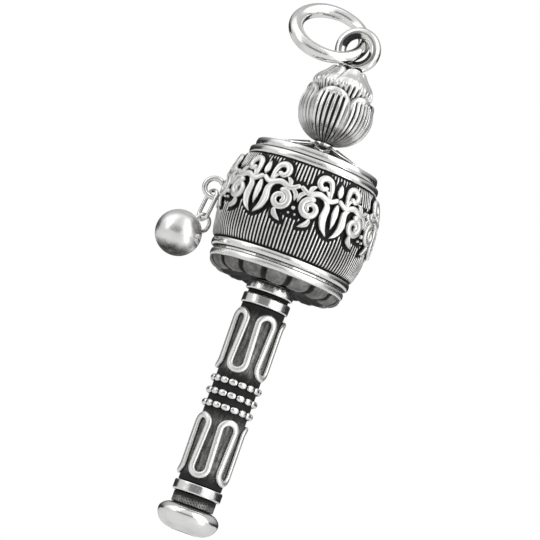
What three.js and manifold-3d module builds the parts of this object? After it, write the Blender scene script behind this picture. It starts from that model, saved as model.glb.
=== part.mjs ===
// A silver prayer wheel pendant: a drum that spins on a slim handle, with a lotus bud and a
// hanging ring above it and a small swinging weight on a chain at its side.
// Millimetres, +Z up along the spindle, Z = 0 at the middle of the grip.

import * as THREE from 'three';
import Module from 'manifold-3d';
import { mergeVertices } from 'three/addons/utils/BufferGeometryUtils.js';

// ---------------------------------------------------------------- driving dimensions

const GAP = 0.05; // clearance between neighbouring pieces, and the running clearance
const SPINDLE_R = 0.55;
const BORE_R = SPINDLE_R + GAP;

const GRIP_R = 2.25;
const GRIP_HALF = 9.35;
const COLLAR_R = 2.45;
const BEAD_PITCH = 1.3;
const BEADS_PER_ROW = 16;
const LOOPS_PER_WIRE = 5;
const WIRE_LOW = 2.6; // the looped wire's centreline runs between these two heights
const WIRE_HIGH = 8.5;

const POMMEL_R = 3.15;
const POMMEL_TOP = -11.65;
const POMMEL_BOTTOM = -14.25;
const POMMEL_FLAT_R = 1.3;
const TENON_R = 1.0;

const BASE_BOTTOM = 11.65;
const WALL_BOTTOM = 14.6;
const WALL_TOP = 23.65;
const RIM_TOP = 24.5;
const LID_TOP = 26.85;
const BUD_BOTTOM = 27.15;
const PETALS = 6;
const PETAL_TURN = THREE.MathUtils.degToRad(-102); // where the first outer petal points

const EYE_Z = 37.25;
const EYE_R = 1.78;
const EYE_WIRE_R = 0.55;
const EYE_TURN = THREE.MathUtils.degToRad(-15);

const RING_R = 3.6;
const RING_WIRE_R = 0.62;
const RING_CENTRE = new THREE.Vector3(-3.2, 0.7, 38.0);
const RING_LEAN = THREE.MathUtils.degToRad(43); // how far its plane leans from upright

const EYELET = new THREE.Vector3(-8.8, 0, 19.15);
const EYELET_R = 0.96;
const EYELET_WIRE_R = 0.28;
const CHAIN_WIRE_R = 0.2;
const LINK_LENGTH = 3.25; // between the middles of its two ends
const LINK_HALF_WIDTH = 0.76;
const LINK_TILT = THREE.MathUtils.degToRad(6);
const LINK_TURN = THREE.MathUtils.degToRad(37);
const LINK_TOP = EYELET.clone().add(new THREE.Vector3(0.14, 0, -0.22));
const CHAIN_RING_R = 0.88;
const CHAIN_RING_DROP = 0.42; // from the middle of the link's end to the ring's centre
const BALL_R = 2.35;
const BALL_EYE_R = 0.5;
const BALL_EYE_WIRE_R = 0.16;

const SPRIGS = 12;
const ORNAMENT_Z = 19.6;
const SKIN_R = 7.8; // the drum's mean radius behind the raised work

// ---------------------------------------------------------------- finishes

function finish(color, roughness, metalness = 1) {
  return new THREE.MeshStandardMaterial({ color, roughness, metalness });
}

const POLISHED = finish(0xd9d8d4, 0.2);
const SATIN = finish(0xa8a6a2, 0.35);
const OXIDISED = finish(0x3a3836, 0.5);
const BRASS = finish(0xb08d4a, 0.35);
const PAPER = finish(0xd8c9a0, 0.9, 0);
const THREAD = finish(0x8a2a20, 0.9, 0);

// ---------------------------------------------------------------- shape helpers

// A [radius, height] profile turned about Z. It runs up the outside, and starts and ends on
// the axis or closes on itself.
function turned(profile, sides = 28) {
  const points = profile.map(([r, z]) => new THREE.Vector2(r, z));
  return new THREE.LatheGeometry(points, sides).rotateX(Math.PI / 2);
}

// A plain ring of rectangular section.
function washer(inner, outer, low, high, sides = 16) {
  return turned([[inner, low], [outer, low], [outer, high], [inner, high], [inner, low]], sides);
}

// A ring with softened outer edges.
function collar(inner, outer, low, high) {
  const soft = 0.12;
  return turned([
    [inner, low],
    [outer - soft, low],
    [outer, low + soft],
    [outer, high - soft],
    [outer - soft, high],
    [inner, high],
    [inner, low],
  ], 28);
}

// A ring whose outside swells to a soft edge at half its height.
function rim(inner, outer, low, high) {
  const middle = (low + high) / 2;
  return turned([
    [inner, low],
    [outer - 0.15, low],
    [outer, middle],
    [outer - 0.15, high],
    [inner, high],
    [inner, low],
  ], 40);
}

// Moves every vertex by a function that edits a Vector3 in place.
function reshape(geometry, move) {
  const { position } = geometry.attributes;
  const p = new THREE.Vector3();
  for (let i = 0; i < position.count; i += 1) {
    p.fromBufferAttribute(position, i);
    move(p);
    position.setXYZ(i, p.x, p.y, p.z);
  }
  geometry.computeVertexNormals();
  return geometry;
}

// A closed tube along a closed path. point(u) and outward(u) give the path and the side of
// the tube that faces out; section(u) gives its half-thickness outward and its half-width.
function closedTube(point, outward, section, sides, steps) {
  const step = 1e-4;
  const tube = new THREE.TorusGeometry(1, 0.1, sides, steps);
  const { position, uv } = tube.attributes;
  for (let i = 0; i < position.count; i += 1) {
    const u = uv.getX(i) % 1;
    const around = 2 * Math.PI * uv.getY(i);
    const [thick, wide] = section(u);
    const along = point(u + step).sub(point(u - step)).normalize();
    const side = new THREE.Vector3().crossVectors(outward(u), along).normalize();
    const out = new THREE.Vector3().crossVectors(along, side);
    const p = point(u);
    p.addScaledVector(out, thick * Math.cos(around));
    p.addScaledVector(side, wide * Math.sin(around));
    position.setXYZ(i, p.x, p.y, p.z);
  }
  tube.computeVertexNormals();
  return tube;
}

// A round ring whose plane holds the unit vectors a and b.
function hoop(centre, a, b, radius, wire, sides, steps) {
  const ring = new THREE.TorusGeometry(radius, wire, sides, steps);
  const normal = new THREE.Vector3().crossVectors(a, b);
  const turn = new THREE.Matrix4().makeBasis(a, b, normal).setPosition(centre);
  return ring.applyMatrix4(turn);
}

// A ring with an opening: an arc of wire with closed ends, open towards a.
function openHoop(centre, a, b, radius, wire, opening, sides, steps) {
  class Arc extends THREE.Curve {
    getPoint(t) {
      const angle = opening + t * (2 * Math.PI - 2 * opening);
      const p = centre.clone().addScaledVector(a, radius * Math.cos(angle));
      return p.addScaledVector(b, radius * Math.sin(angle));
    }
  }
  const section = new THREE.Shape().absarc(0, 0, wire, 0, 2 * Math.PI);
  return new THREE.ExtrudeGeometry(section, {
    steps,
    curveSegments: sides,
    bevelEnabled: false,
    extrudePath: new Arc(),
  });
}

function cylindrical(radius, angle, z) {
  return new THREE.Vector3(radius * Math.cos(angle), radius * Math.sin(angle), z);
}

const wasm = await Module();
wasm.setup();

function solidOf(geometry) {
  const bare = geometry.clone();
  bare.deleteAttribute('normal');
  bare.deleteAttribute('uv');
  const merged = mergeVertices(bare, 1e-5);
  return new wasm.Manifold(new wasm.Mesh({
    numProp: 3,
    vertProperties: new Float32Array(merged.attributes.position.array),
    triVerts: new Uint32Array(merged.index.array),
  }));
}

function geometryOf(solid) {
  const mesh = solid.getMesh();
  const geometry = new THREE.BufferGeometry();
  geometry.setAttribute('position', new THREE.BufferAttribute(mesh.vertProperties, 3));
  geometry.setIndex(new THREE.BufferAttribute(mesh.triVerts, 1));
  geometry.computeVertexNormals();
  return geometry;
}

// ---------------------------------------------------------------- the object

const pendant = new THREE.Group();

function add(name, geometry, material) {
  const mesh = new THREE.Mesh(geometry, material);
  mesh.name = name;
  pendant.add(mesh);
}

// ---------------------------------------------------------------- handle

function spindleRod() {
  const foot = 5;
  const head = BUD_BOTTOM + 1.45;
  return turned([
    [0, foot],
    [SPINDLE_R - 0.1, foot],
    [SPINDLE_R, foot + 0.1],
    [SPINDLE_R, head - 0.1],
    [SPINDLE_R - 0.1, head],
    [0, head],
  ], 16);
}

function gripCore() {
  const socket = 5 - GAP;
  return turned([
    [0, -GRIP_HALF],
    [GRIP_R - 0.1, -GRIP_HALF],
    [GRIP_R, -GRIP_HALF + 0.1],
    [GRIP_R, GRIP_HALF - 0.1],
    [GRIP_R - 0.1, GRIP_HALF],
    [BORE_R, GRIP_HALF],
    [BORE_R, socket],
    [0, socket],
  ]);
}

// The looped wire: upright limbs joined by half-round bends, alternately above and below,
// all laid round the grip. Its loops are a little wider at their closed ends.
const LIMB_SHARE = 1 / 7;
const BEND_SHARE = 0.5 - LIMB_SHARE;

function loopedWire(low, high) {
  const radius = GRIP_R + GAP + 0.13;
  const quarter = Math.PI * radius / LOOPS_PER_WIRE / 2;
  const bulb = 0.1;
  const bend = quarter + bulb;
  const topCentre = high - bend;
  const bottomCentre = low + bend;
  const firstLoop = THREE.MathUtils.degToRad(-90 - 51.5);
  const path = (u) => {
    const wrapped = ((u % 1) + 1) % 1;
    const period = Math.floor(wrapped * LOOPS_PER_WIRE);
    const q = wrapped * LOOPS_PER_WIRE - period;
    const rising = q < 0.5;
    const local = rising ? q : q - 0.5;
    const start = period * 4 * quarter + (rising ? -quarter : quarter);
    let along = 0;
    let z = 0;
    if (local < LIMB_SHARE) {
      const t = local / LIMB_SHARE;
      along = start + bulb * (1 - 2 * t);
      z = rising ? bottomCentre + t * (topCentre - bottomCentre)
        : topCentre - t * (topCentre - bottomCentre);
    } else {
      const angle = Math.PI * (local - LIMB_SHARE) / BEND_SHARE;
      along = start + quarter - bend * Math.cos(angle);
      z = rising ? topCentre + bend * Math.sin(angle)
        : bottomCentre - bend * Math.sin(angle);
    }
    return { angle: firstLoop + along / radius, z };
  };
  const point = (u) => {
    const { angle, z } = path(u);
    return cylindrical(radius, angle, z);
  };
  const outward = (u) => cylindrical(1, path(u).angle, 0);
  return closedTube(point, outward, () => [0.13, 0.27], 5, 14 * LOOPS_PER_WIRE);
}

function beadRow(z) {
  const radius = GRIP_R + GAP + 0.16;
  const point = (u) => cylindrical(radius, 2 * Math.PI * u, z);
  const outward = (u) => cylindrical(1, 2 * Math.PI * u, 0);
  const section = (u) => {
    const bead = Math.abs(Math.sin(Math.PI * BEADS_PER_ROW * u));
    return [0.09 + 0.08 * bead, 0.16 + 0.16 * bead];
  };
  return closedTube(point, outward, section, 4, 3 * BEADS_PER_ROW);
}

const COLLAR_FOOT = GRIP_HALF + GAP;
const SPACER_FOOT = COLLAR_FOOT + 1.1;
const TOP_COLLAR_FOOT = SPACER_FOOT + 0.35;
const TOP_COLLAR_HEAD = TOP_COLLAR_FOOT + 0.95;

add('spindle_rod', spindleRod(), SATIN);
add('grip_core', gripCore(), OXIDISED);
add('grip_wire_upper', loopedWire(WIRE_LOW, WIRE_HIGH), SATIN);
add('grip_wire_lower', loopedWire(-WIRE_HIGH, -WIRE_LOW), SATIN);
add('bead_row_upper', beadRow(BEAD_PITCH), POLISHED);
add('bead_row_middle', beadRow(0), POLISHED);
add('bead_row_lower', beadRow(-BEAD_PITCH), POLISHED);
add('grip_collar', collar(BORE_R, COLLAR_R, COLLAR_FOOT, SPACER_FOOT - GAP), POLISHED);
add('collar_spacer', washer(BORE_R, 2.1, SPACER_FOOT, TOP_COLLAR_FOOT - GAP, 24), OXIDISED);
add('top_collar', collar(BORE_R, COLLAR_R, TOP_COLLAR_FOOT, TOP_COLLAR_HEAD), POLISHED);
add('thrust_washer', washer(BORE_R, 1.5, TOP_COLLAR_HEAD + GAP, TOP_COLLAR_HEAD + 0.2), SATIN);

// ---------------------------------------------------------------- foot of the handle

const END_COLLAR_FOOT = -GRIP_HALF - GAP - 1.05;
const NECK_FOOT = POMMEL_TOP + GAP;

function pommel() {
  const girdle = -12.7;
  return turned([
    [0, POMMEL_BOTTOM],
    [POMMEL_FLAT_R, POMMEL_BOTTOM],
    [2.2, -14.0],
    [2.85, -13.5],
    [POMMEL_R, girdle],
    [3.05, -12.3],
    [2.7, -11.9],
    [2.1, POMMEL_TOP],
    [TENON_R, POMMEL_TOP],
    [TENON_R, -GRIP_HALF - GAP],
    [0, -GRIP_HALF - GAP],
  ]);
}

add('end_collar', collar(TENON_R + GAP, 2.5, END_COLLAR_FOOT, -GRIP_HALF - GAP), POLISHED);
add('pommel_neck', washer(TENON_R + GAP, 2.2, NECK_FOOT, END_COLLAR_FOOT - GAP, 28), OXIDISED);
add('pommel', pommel(), POLISHED);

// ---------------------------------------------------------------- lotus bud and eye

// Presses petals into a turned shape: it swells at each petal's middle and its edge rises.
function petalled(geometry, turn, depth, rise, from, to) {
  return reshape(geometry, (p) => {
    const share = THREE.MathUtils.smoothstep(p.z, from, to);
    const wave = Math.cos(PETALS * (Math.atan2(p.y, p.x) - turn));
    const r = Math.hypot(p.x, p.y);
    const swell = r > 1 ? 1 + depth * share * (wave - 1) / 2 : 1;
    p.x *= swell;
    p.y *= swell;
    p.z += r > 1 ? rise * share * wave : 0;
  });
}

function outerPetals() {
  const floor = 30.6;
  const cup = turned([
    [0, BUD_BOTTOM + 1.5],
    [BORE_R, BUD_BOTTOM + 1.5],
    [BORE_R, BUD_BOTTOM],
    [0.8, BUD_BOTTOM],
    [2.2, 27.6],
    [3.2, 28.5],
    [3.75, 29.7],
    [3.8, 30.6],
    [3.55, 31.6],
    [3.25, 32.5],
    [2.98, 32.4],
    [3.0, 31.6],
    [2.6, floor],
    [0, floor],
  ], 4 * PETALS);
  return petalled(cup, PETAL_TURN, 0.04, 0.5, 30, 32.5);
}

function eyeAxes() {
  const across = new THREE.Vector3(Math.cos(EYE_TURN), Math.sin(EYE_TURN), 0);
  return [across, new THREE.Vector3(0, 0, 1)];
}

function eyeHoop(extra, sides, steps) {
  const [across, up] = eyeAxes();
  const centre = new THREE.Vector3(0, 0, EYE_Z);
  return hoop(centre, across, up, EYE_R, EYE_WIRE_R + extra, sides, steps);
}

// The inner bud, with a saddle cut in its tip for the eye.
function innerPetals() {
  const bud = turned([
    [0, 30.65],
    [2.5, 30.65],
    [2.85, 31.6],
    [2.88, 32.4],
    [2.85, 33.1],
    [2.6, 33.7],
    [1.95, 34.2],
    [1.5, 34.7],
    [1.3, 35.2],
    [0, 35.2],
  ], 4 * PETALS);
  const lobed = petalled(bud, PETAL_TURN + Math.PI / PETALS, 0.1, 0, 32.4, 33.2);
  return geometryOf(solidOf(lobed).subtract(solidOf(eyeHoop(GAP, 8, 24))));
}

add('bud_washer', washer(BORE_R, 0.95, LID_TOP + GAP, BUD_BOTTOM - GAP), SATIN);
add('bud_outer_petals', outerPetals(), SATIN);
add('bud_inner_petals', innerPetals(), SATIN);
add('eye', eyeHoop(0, 8, 24), POLISHED);

// ---------------------------------------------------------------- hanging ring

function hangingRing() {
  const right = new THREE.Vector3(1, 0, 0);
  const up = new THREE.Vector3(0, Math.sin(RING_LEAN), Math.cos(RING_LEAN));
  return hoop(RING_CENTRE, right, up, RING_R, RING_WIRE_R, 8, 36);
}

add('hanging_ring', hangingRing(), POLISHED);

// ---------------------------------------------------------------- drum

// The barrel's outside, from its foot to its top.
const BARREL = [
  [7.3, WALL_BOTTOM],
  [7.6, 15.6],
  [7.8, 17.0],
  [7.85, 18.7],
  [7.72, 20.4],
  [7.42, 22.0],
  [6.95, WALL_TOP],
];
const WALL_THICKNESS = 0.7;
const HUB_R = 1.0;
const HUB_HOLE_R = HUB_R + GAP;

function barrelRadius(z) {
  const last = BARREL.length - 2;
  let i = 0;
  while (i < last && z > BARREL[i + 1][1]) i += 1;
  const [r0, z0] = BARREL[i];
  const [r1, z1] = BARREL[i + 1];
  return r0 + (r1 - r0) * (z - z0) / (z1 - z0);
}

function drumWall() {
  const inside = BARREL.filter((_, i) => i % 2 === 0).reverse();
  return turned([
    ...BARREL,
    ...inside.map(([r, z]) => [r - WALL_THICKNESS, z]),
    BARREL[0],
  ], 36);
}

function lid() {
  return turned([
    [HUB_HOLE_R, 26.1],
    [4.9, 24.75],
    [6.0, 24.6],
    [6.0, 25.25],
    [5.2, 25.45],
    [HUB_HOLE_R, LID_TOP],
    [HUB_HOLE_R, 26.1],
  ], 36);
}

function lidHeight(r) {
  return THREE.MathUtils.mapLinear(r, HUB_HOLE_R, 5.2, LID_TOP, 25.45);
}

// The raised star on the lid: a rib that zigzags between the hub and the lid's edge.
function lidStar() {
  const points = 8;
  const point = (u) => {
    const wave = Math.abs(((u * points) % 1 + 1) % 1 - 0.5) * 2;
    const r = 1.6 + 3.3 * wave;
    return cylindrical(r, 2 * Math.PI * u, lidHeight(r) + 0.13 + GAP / 2);
  };
  return closedTube(point, () => new THREE.Vector3(0, 0, 1), () => [0.1, 0.16], 4, 6 * points);
}

function lotusBase() {
  const lobes = 16;
  const bowl = turned([
    [HUB_HOLE_R, 12.1],
    [2.6, 12.1],
    [4.4, 11.8],
    [5.4, BASE_BOTTOM],
    [6.2, 11.9],
    [6.75, 12.4],
    [6.9, 12.9],
    [HUB_HOLE_R, 12.9],
    [HUB_HOLE_R, 12.1],
  ], 2 * lobes);
  return reshape(bowl, (p) => {
    const r = Math.hypot(p.x, p.y);
    const edge = r > 5 && p.z < 12.2 ? 1 : 0;
    const swell = 1 - 0.03 * edge * (1 - Math.cos(lobes * Math.atan2(p.y, p.x)));
    p.x *= swell;
    p.y *= swell;
  });
}

add('lotus_base', lotusBase(), OXIDISED);
add('base_bead', rim(HUB_HOLE_R, 7.0, 12.95, 13.35), SATIN);
add('bottom_plate', washer(HUB_HOLE_R, 6.75, 13.4, 13.7, 32), OXIDISED);
add('bottom_rim', rim(6.0, 7.3, 13.75, WALL_BOTTOM - GAP), POLISHED);
add('drum_wall', drumWall(), OXIDISED);
add('top_rim', rim(6.05, 6.85, WALL_TOP + GAP, RIM_TOP), POLISHED);
add('lid', lid(), OXIDISED);
add('lid_rim', rim(6.05, 6.45, RIM_TOP + GAP, 25.4), POLISHED);
add('lid_star', lidStar(), POLISHED);

// ---------------------------------------------------------------- inside the drum

const TUBE_FOOT = 13.4;
const TUBE_HEAD = 25.9;
const SCROLL_R = 4.4;

add('lower_bush', washer(BORE_R, HUB_R, 12.1, TUBE_FOOT - GAP), BRASS);
add('upper_bush', washer(BORE_R, HUB_R, TUBE_HEAD + GAP, LID_TOP - GAP), BRASS);
add('core_tube', washer(BORE_R + 0.15, HUB_R, TUBE_FOOT, TUBE_HEAD), SATIN);
add('paper_scroll', washer(HUB_R + GAP, SCROLL_R, 14.0, 24.0, 24), PAPER);

function scrollTie() {
  const up = new THREE.Vector3(0, 1, 0);
  const across = new THREE.Vector3(1, 0, 0);
  return hoop(new THREE.Vector3(0, 0, 19), across, up, SCROLL_R + 0.2, 0.12, 4, 20);
}

add('scroll_tie', scrollTie(), THREAD);

// ---------------------------------------------------------------- raised scrollwork

const RELIEF = 0.26; // the middle of the raised work above the drum's skin

// A point on the drum's skin, s along it and t up it from the middle of an ornament.
function onDrum(turn, s, t, lift) {
  const z = ORNAMENT_Z + t;
  return cylindrical(barrelRadius(z) + lift, turn + s / SKIN_R, z);
}

// A raised ring on the drum's skin.
function curl(turn, s, t, radius, halfWidth) {
  const place = (u) => {
    const angle = 2 * Math.PI * u;
    return [s + radius * Math.cos(angle), t + radius * Math.sin(angle)];
  };
  const point = (u) => onDrum(turn, ...place(u), RELIEF);
  const outward = (u) => cylindrical(1, turn + place(u)[0] / SKIN_R, 0);
  return closedTube(point, outward, () => [0.15, halfWidth], 4, 10);
}

// A raised leaf, pointed at both ends, from one place on the drum's skin to another.
function leaf(turn, from, to, halfWidth) {
  const along = new THREE.Vector2(to[0] - from[0], to[1] - from[1]);
  const across = new THREE.Vector2(-along.y, along.x).normalize();
  return reshape(new THREE.SphereGeometry(1, 5, 5), (p) => {
    const share = (1 - p.y) / 2;
    const side = p.x * halfWidth;
    const s = from[0] + along.x * share + across.x * side;
    const t = from[1] + along.y * share + across.y * side;
    p.copy(onDrum(turn, s, t, RELIEF + 0.14 * p.z));
  });
}

// A sprig: two leaves spread like wings, with a curled tendril and a long leaf below them.
// The sprig over the eyelet has only its wings.
function sprig(turn, mirrored, wingsOnly) {
  const m = mirrored ? -1 : 1;
  const left = solidOf(leaf(turn, [0.35, 1.15], [-1.8, 1.8], 0.42));
  const right = solidOf(leaf(turn, [-0.35, 1.15], [1.8, 1.8], 0.42));
  const wings = left.add(right);
  if (wingsOnly) return geometryOf(wings);
  const tendril = solidOf(curl(turn, -0.35 * m, 0, 0.85, 0.3));
  const tail = solidOf(leaf(turn, [0.1 * m, 1.2], [1.5 * m, -2.1], 0.38));
  return geometryOf(wings.add(tendril).add(tail));
}

const FIRST_SPRIG = THREE.MathUtils.degToRad(-80);
const SPRIG_OVER_EYELET = 9;

for (let i = 0; i < SPRIGS; i += 1) {
  const turn = FIRST_SPRIG + (i * 2 * Math.PI) / SPRIGS;
  const name = `sprig_${String(i + 1).padStart(2, '0')}`;
  add(name, sprig(turn, i % 2 === 1, i === SPRIG_OVER_EYELET), SATIN);
}

// ---------------------------------------------------------------- side chain and weight

const X = new THREE.Vector3(1, 0, 0);
const Y = new THREE.Vector3(0, 1, 0);
const Z = new THREE.Vector3(0, 0, 1);

function blend(a, wa, b, wb) {
  return a.clone().multiplyScalar(wa).addScaledVector(b, wb);
}

// The chain's own directions: down along the link, across the link, and square to both.
const DOWN = blend(X, -Math.sin(LINK_TILT), Z, -Math.cos(LINK_TILT));
const RIGHT = blend(X, Math.cos(LINK_TILT), Z, -Math.sin(LINK_TILT));
const ACROSS = blend(Y, -Math.cos(LINK_TURN), RIGHT, Math.sin(LINK_TURN));
const SQUARE = new THREE.Vector3().crossVectors(ACROSS, DOWN);

// The link is a round ring pulled out lengthwise at its middle.
function chainLink() {
  const stretch = LINK_LENGTH / 2 - LINK_HALF_WIDTH;
  const ring = reshape(new THREE.TorusGeometry(LINK_HALF_WIDTH, CHAIN_WIRE_R, 6, 18), (p) => {
    p.y += p.y > 1e-6 ? stretch : -stretch;
  });
  const middle = LINK_TOP.clone().addScaledVector(DOWN, LINK_LENGTH / 2);
  const up = DOWN.clone().negate();
  const normal = new THREE.Vector3().crossVectors(ACROSS, up);
  return ring.applyMatrix4(new THREE.Matrix4().makeBasis(ACROSS, up, normal).setPosition(middle));
}

const LINK_END = LINK_TOP.clone().addScaledVector(DOWN, LINK_LENGTH);
const HANG = THREE.MathUtils.degToRad(53); // where on the small ring the link's end sits
const REACH = THREE.MathUtils.degToRad(-51); // where on it the weight's eye sits
const SPREAD = THREE.MathUtils.degToRad(18); // how far the weight swings out of its plane
const CHAIN_RING = LINK_END.clone()
  .addScaledVector(blend(DOWN, Math.cos(HANG), SQUARE, Math.sin(HANG)), CHAIN_RING_DROP);
const OUTWARD = blend(DOWN, Math.cos(REACH), SQUARE, Math.sin(REACH));
const ALONG_WIRE = blend(DOWN, -Math.sin(REACH), SQUARE, Math.cos(REACH));
const BALL_PIVOT = CHAIN_RING.clone().addScaledVector(OUTWARD, CHAIN_RING_R);
const TO_BALL = blend(OUTWARD, Math.cos(SPREAD), ACROSS, Math.sin(SPREAD));
const BALL = BALL_PIVOT.clone().addScaledVector(TO_BALL, BALL_R + CHAIN_WIRE_R + 0.08);

function ballEye() {
  const centre = BALL_PIVOT.clone().addScaledVector(TO_BALL, 0.08);
  const side = new THREE.Vector3().crossVectors(ALONG_WIRE, TO_BALL);
  const wire = openHoop(centre, TO_BALL, side, BALL_EYE_R, BALL_EYE_WIRE_R, 0.6, 3, 10);
  const room = new THREE.SphereGeometry(BALL_R + GAP, 24, 16).translate(...BALL);
  return geometryOf(solidOf(wire).subtract(solidOf(room)));
}

function eyelet() {
  const opening = THREE.MathUtils.degToRad(38);
  const wire = openHoop(EYELET, X, Z, EYELET_R, EYELET_WIRE_R, opening, 4, 14);
  const room = turned([
    [0, WALL_BOTTOM],
    ...BARREL.map(([r, z]) => [r + GAP, z]),
    [0, WALL_TOP],
  ], 36);
  return geometryOf(solidOf(wire).subtract(solidOf(room)));
}

add('side_eyelet', eyelet(), POLISHED);
add('chain_link', chainLink(), POLISHED);
add('chain_ring', hoop(CHAIN_RING, DOWN, SQUARE, CHAIN_RING_R, CHAIN_WIRE_R, 6, 20), POLISHED);
add('weight_ball', new THREE.SphereGeometry(BALL_R, 20, 10).translate(...BALL), SATIN);
add('ball_eye', ballEye(), POLISHED);

export default pendant;
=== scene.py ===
# %% [markdown]
# # A silver prayer wheel pendant
# The real piece is a pendant about as long as a thumb, cast and soldered in silver:
# a drum that spins on a slim handle, a lotus bud with a hanging ring above it, and a small
# weight on a chain at the drum's side. The silver was blackened all over and then polished, so
# the high places shine and every hollow stays dark. That contrast is most of its look.
#
# The working model, with its sizes and joints, is loaded first as a fixed frame. Each piece
# made here stands in for one piece of that frame and moves with the same body.

# %% The frame
import math

import bpy
import numpy as np
from mathutils import Matrix, Vector


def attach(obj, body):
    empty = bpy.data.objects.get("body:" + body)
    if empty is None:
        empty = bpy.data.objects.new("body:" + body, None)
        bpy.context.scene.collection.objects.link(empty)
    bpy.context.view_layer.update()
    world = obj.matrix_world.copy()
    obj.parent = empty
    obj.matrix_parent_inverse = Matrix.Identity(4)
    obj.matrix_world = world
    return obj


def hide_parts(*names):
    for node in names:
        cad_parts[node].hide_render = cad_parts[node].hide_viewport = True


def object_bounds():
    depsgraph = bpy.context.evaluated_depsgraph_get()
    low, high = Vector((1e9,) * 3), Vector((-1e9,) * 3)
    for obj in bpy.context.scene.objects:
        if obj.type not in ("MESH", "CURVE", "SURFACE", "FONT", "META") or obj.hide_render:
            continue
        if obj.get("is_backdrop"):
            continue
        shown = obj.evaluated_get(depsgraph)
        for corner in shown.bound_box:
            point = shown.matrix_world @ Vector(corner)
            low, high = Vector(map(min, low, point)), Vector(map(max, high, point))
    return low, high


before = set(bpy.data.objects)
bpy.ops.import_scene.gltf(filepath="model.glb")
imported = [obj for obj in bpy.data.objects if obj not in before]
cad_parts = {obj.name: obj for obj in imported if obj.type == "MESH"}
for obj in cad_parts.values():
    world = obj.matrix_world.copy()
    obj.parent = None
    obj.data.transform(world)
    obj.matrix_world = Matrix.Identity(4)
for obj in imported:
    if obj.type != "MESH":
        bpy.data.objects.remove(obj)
working_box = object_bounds()

# %% [markdown]
# ## The camera
# A small object looks best through a long lens from well back, which keeps its sides nearly
# parallel. The camera stands a little below the drum and looks slightly up, and it is rolled,
# so the pendant leans to the right across a square frame.

# %% The camera
LENS_DISTANCE = 0.35
LOOK_UP = math.radians(6)
ROLL = math.radians(20)
VIEW_WIDTH = 0.054
SENSOR = 36.0
aim = Vector((-0.00075, 0.0, 0.0133))

forward = Vector((0, math.cos(LOOK_UP), math.sin(LOOK_UP)))
level_right = Vector((1, 0, 0))
level_up = level_right.cross(forward)
right = level_right * math.cos(ROLL) + level_up * math.sin(ROLL)
upward = level_up * math.cos(ROLL) - level_right * math.sin(ROLL)

camera_data = bpy.data.cameras.new("camera")
camera_data.sensor_width = SENSOR
camera_data.lens = SENSOR * LENS_DISTANCE / VIEW_WIDTH
camera_data.clip_start = 0.01
camera = bpy.data.objects.new("camera", camera_data)
camera.matrix_world = Matrix((right, upward, -forward)).transposed().to_4x4()
camera.matrix_world.translation = aim - forward * LENS_DISTANCE
bpy.context.scene.collection.objects.link(camera)
bpy.context.scene.camera = camera
print("lens:", round(camera_data.lens), "mm, camera at", tuple(round(c, 3) for c in camera.location))

# %% [markdown]
# Jewellery is shown in hard tones: the background burns out to white, and the soot is almost
# black. Blender's default view softens both ends, so the plain standard one is used.

# %% Tones
bpy.context.scene.view_settings.view_transform = "Standard"
print("tones:", bpy.context.scene.view_settings.view_transform)

# %% [markdown]
# ## Node maths as plain expressions
# A material is a network of nodes. Written out one by one, even `1 - mask * 0.5` takes many
# lines, so one small class wraps an output socket and gives it the usual operators. A second
# class owns the network and has a single method that adds any node.

# %% Sockets that can be added and multiplied
class Value:
    """A node's output. Arithmetic on it adds a Math node and returns that node's output."""

    def __init__(self, recipe, socket):
        self.recipe = recipe
        self.socket = socket

    def _with(self, operation, first, second):
        return self.recipe.add("ShaderNodeMath", {"operation": operation}, {0: first, 1: second})

    def __add__(self, other):
        return self._with("ADD", self, other)

    def __sub__(self, other):
        return self._with("SUBTRACT", self, other)

    def __rsub__(self, other):
        return self._with("SUBTRACT", other, self)

    def __mul__(self, other):
        return self._with("MULTIPLY", self, other)

    def __abs__(self):
        return self._with("ABSOLUTE", self, 0.0)

    def at_least(self, other):
        return self._with("MAXIMUM", self, other)

    __radd__ = __add__
    __rmul__ = __mul__


class Recipe:
    """A node tree that starts empty, with the few helpers that every finish uses."""

    def __init__(self, tree):
        self.tree = tree
        tree.nodes.clear()

    def add(self, kind, settings=None, sockets=None, output=0):
        """Adds a node: its settings first, then a value or a link for each named socket."""
        node = self.tree.nodes.new(kind)
        for name, value in (settings or {}).items():
            setattr(node, name, value)
        for name, value in (sockets or {}).items():
            if isinstance(value, Value):
                self.tree.links.new(value.socket, node.inputs[name])
            else:
                node.inputs[name].default_value = value
        return Value(self, node.outputs[output]) if node.outputs else None

    def place(self, stretch=(1, 1, 1), turn=(0, 0, 0)):
        """Object coordinates, optionally turned and stretched."""
        spot = self.add("ShaderNodeTexCoord", output="Object")
        if stretch == (1, 1, 1) and turn == (0, 0, 0):
            return spot
        return self.add("ShaderNodeMapping", {}, {"Vector": spot, "Rotation": turn, "Scale": stretch})

    def noise(self, per_metre, detail=2.0, place=None):
        """Soft random clouds between 0 and 1, with about per_metre of them in a metre."""
        sockets = {"Vector": place or self.place(), "Scale": per_metre, "Detail": detail}
        return self.add("ShaderNodeTexNoise", {}, sockets, "Fac")

    def band(self, value, low, high):
        """0 below low, 1 above high, and a smooth step between them."""
        sockets = {"Value": value, "From Min": low, "From Max": high}
        return self.add("ShaderNodeMapRange", {"interpolation_type": "SMOOTHSTEP"}, sockets)

    def blend(self, share, first, second):
        """One colour turning into another as share goes from 0 to 1."""
        sockets = {0: share, 6: first, 7: second}
        return self.add("ShaderNodeMix", {"data_type": "RGBA"}, sockets, 2)

    def bump(self, height, distance):
        """Fine relief that only bends the light: height is 0 to 1, distance is in metres."""
        return self.add("ShaderNodeBump", {}, {"Height": height, "Distance": distance})

    def finish(self, sockets):
        """The shader itself, joined to the output."""
        shader = self.add("ShaderNodeBsdfPrincipled", {}, sockets)
        self.add("ShaderNodeOutputMaterial", {}, {"Surface": shader})


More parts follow.
